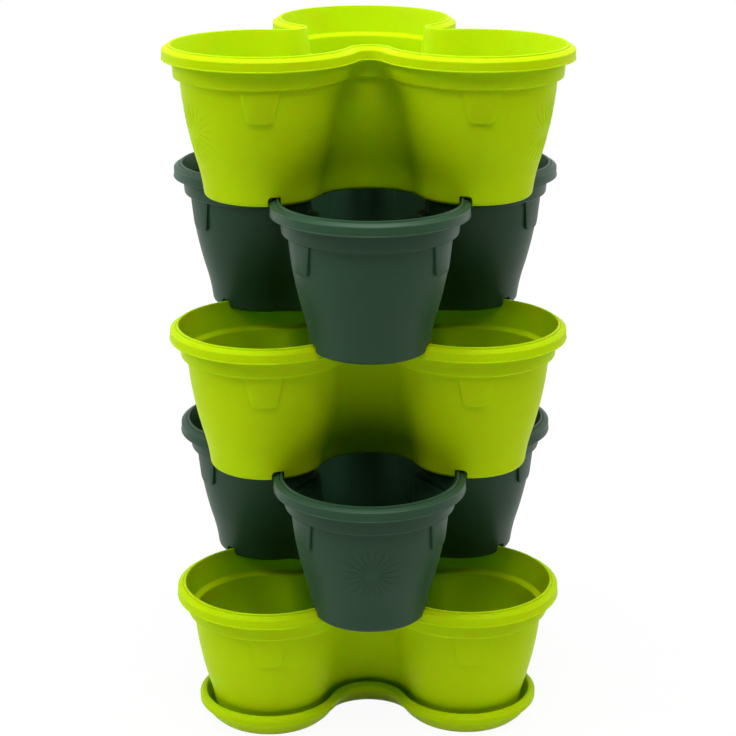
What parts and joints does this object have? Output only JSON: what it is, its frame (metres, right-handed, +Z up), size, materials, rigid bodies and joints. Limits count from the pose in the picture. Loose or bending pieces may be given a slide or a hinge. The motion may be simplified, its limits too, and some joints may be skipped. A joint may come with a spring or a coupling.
{
  "type": "stacking planter tower",
  "caption": "Tower of stacked three-lobed plant pots on a drip saucer; each pot is turned half a lobe and lifts off.",
  "frame": {"origin": "middle of the saucer's underside, on the axis that all pots share", "axes": "+Z up the tower; +Y points to the back, where the saucer and the lime pots have a lobe; the dark green pots have a lobe to the front, -Y; +X is to the right"},
  "size_m": [0.3602, 0.389, 0.6419],
  "materials": {
    "lime_plastic": "satin moulded polypropylene, fine grain, yellowish lime green",
    "dark_green_plastic": "satin moulded polypropylene, fine grain, dark green"
  },
  "bodies": {
    "saucer": {"saucer": "lime_plastic"},
    "pot_1": {"pot_1": "lime_plastic"},
    "pot_2": {"pot_2": "dark_green_plastic"},
    "pot_3": {"pot_3": "lime_plastic"},
    "pot_4": {"pot_4": "dark_green_plastic"},
    "pot_5": {"pot_5": "lime_plastic"}
  },
  "joints": [
    {"name": "lift_pot_1", "type": "slide", "parent": "saucer", "child": "pot_1", "axis": [0, 0, 1], "range_m": [0, 0.04]},
    {"name": "lift_pot_2", "type": "slide", "parent": "pot_1", "child": "pot_2", "axis": [0, 0, 1], "range_m": [0, 0.04]},
    {"name": "lift_pot_3", "type": "slide", "parent": "pot_2", "child": "pot_3", "axis": [0, 0, 1], "range_m": [0, 0.04]},
    {"name": "lift_pot_4", "type": "slide", "parent": "pot_3", "child": "pot_4", "axis": [0, 0, 1], "range_m": [0, 0.04]},
    {"name": "lift_pot_5", "type": "slide", "parent": "pot_4", "child": "pot_5", "axis": [0, 0, 1], "range_m": [0, 0.04]}
  ]
}
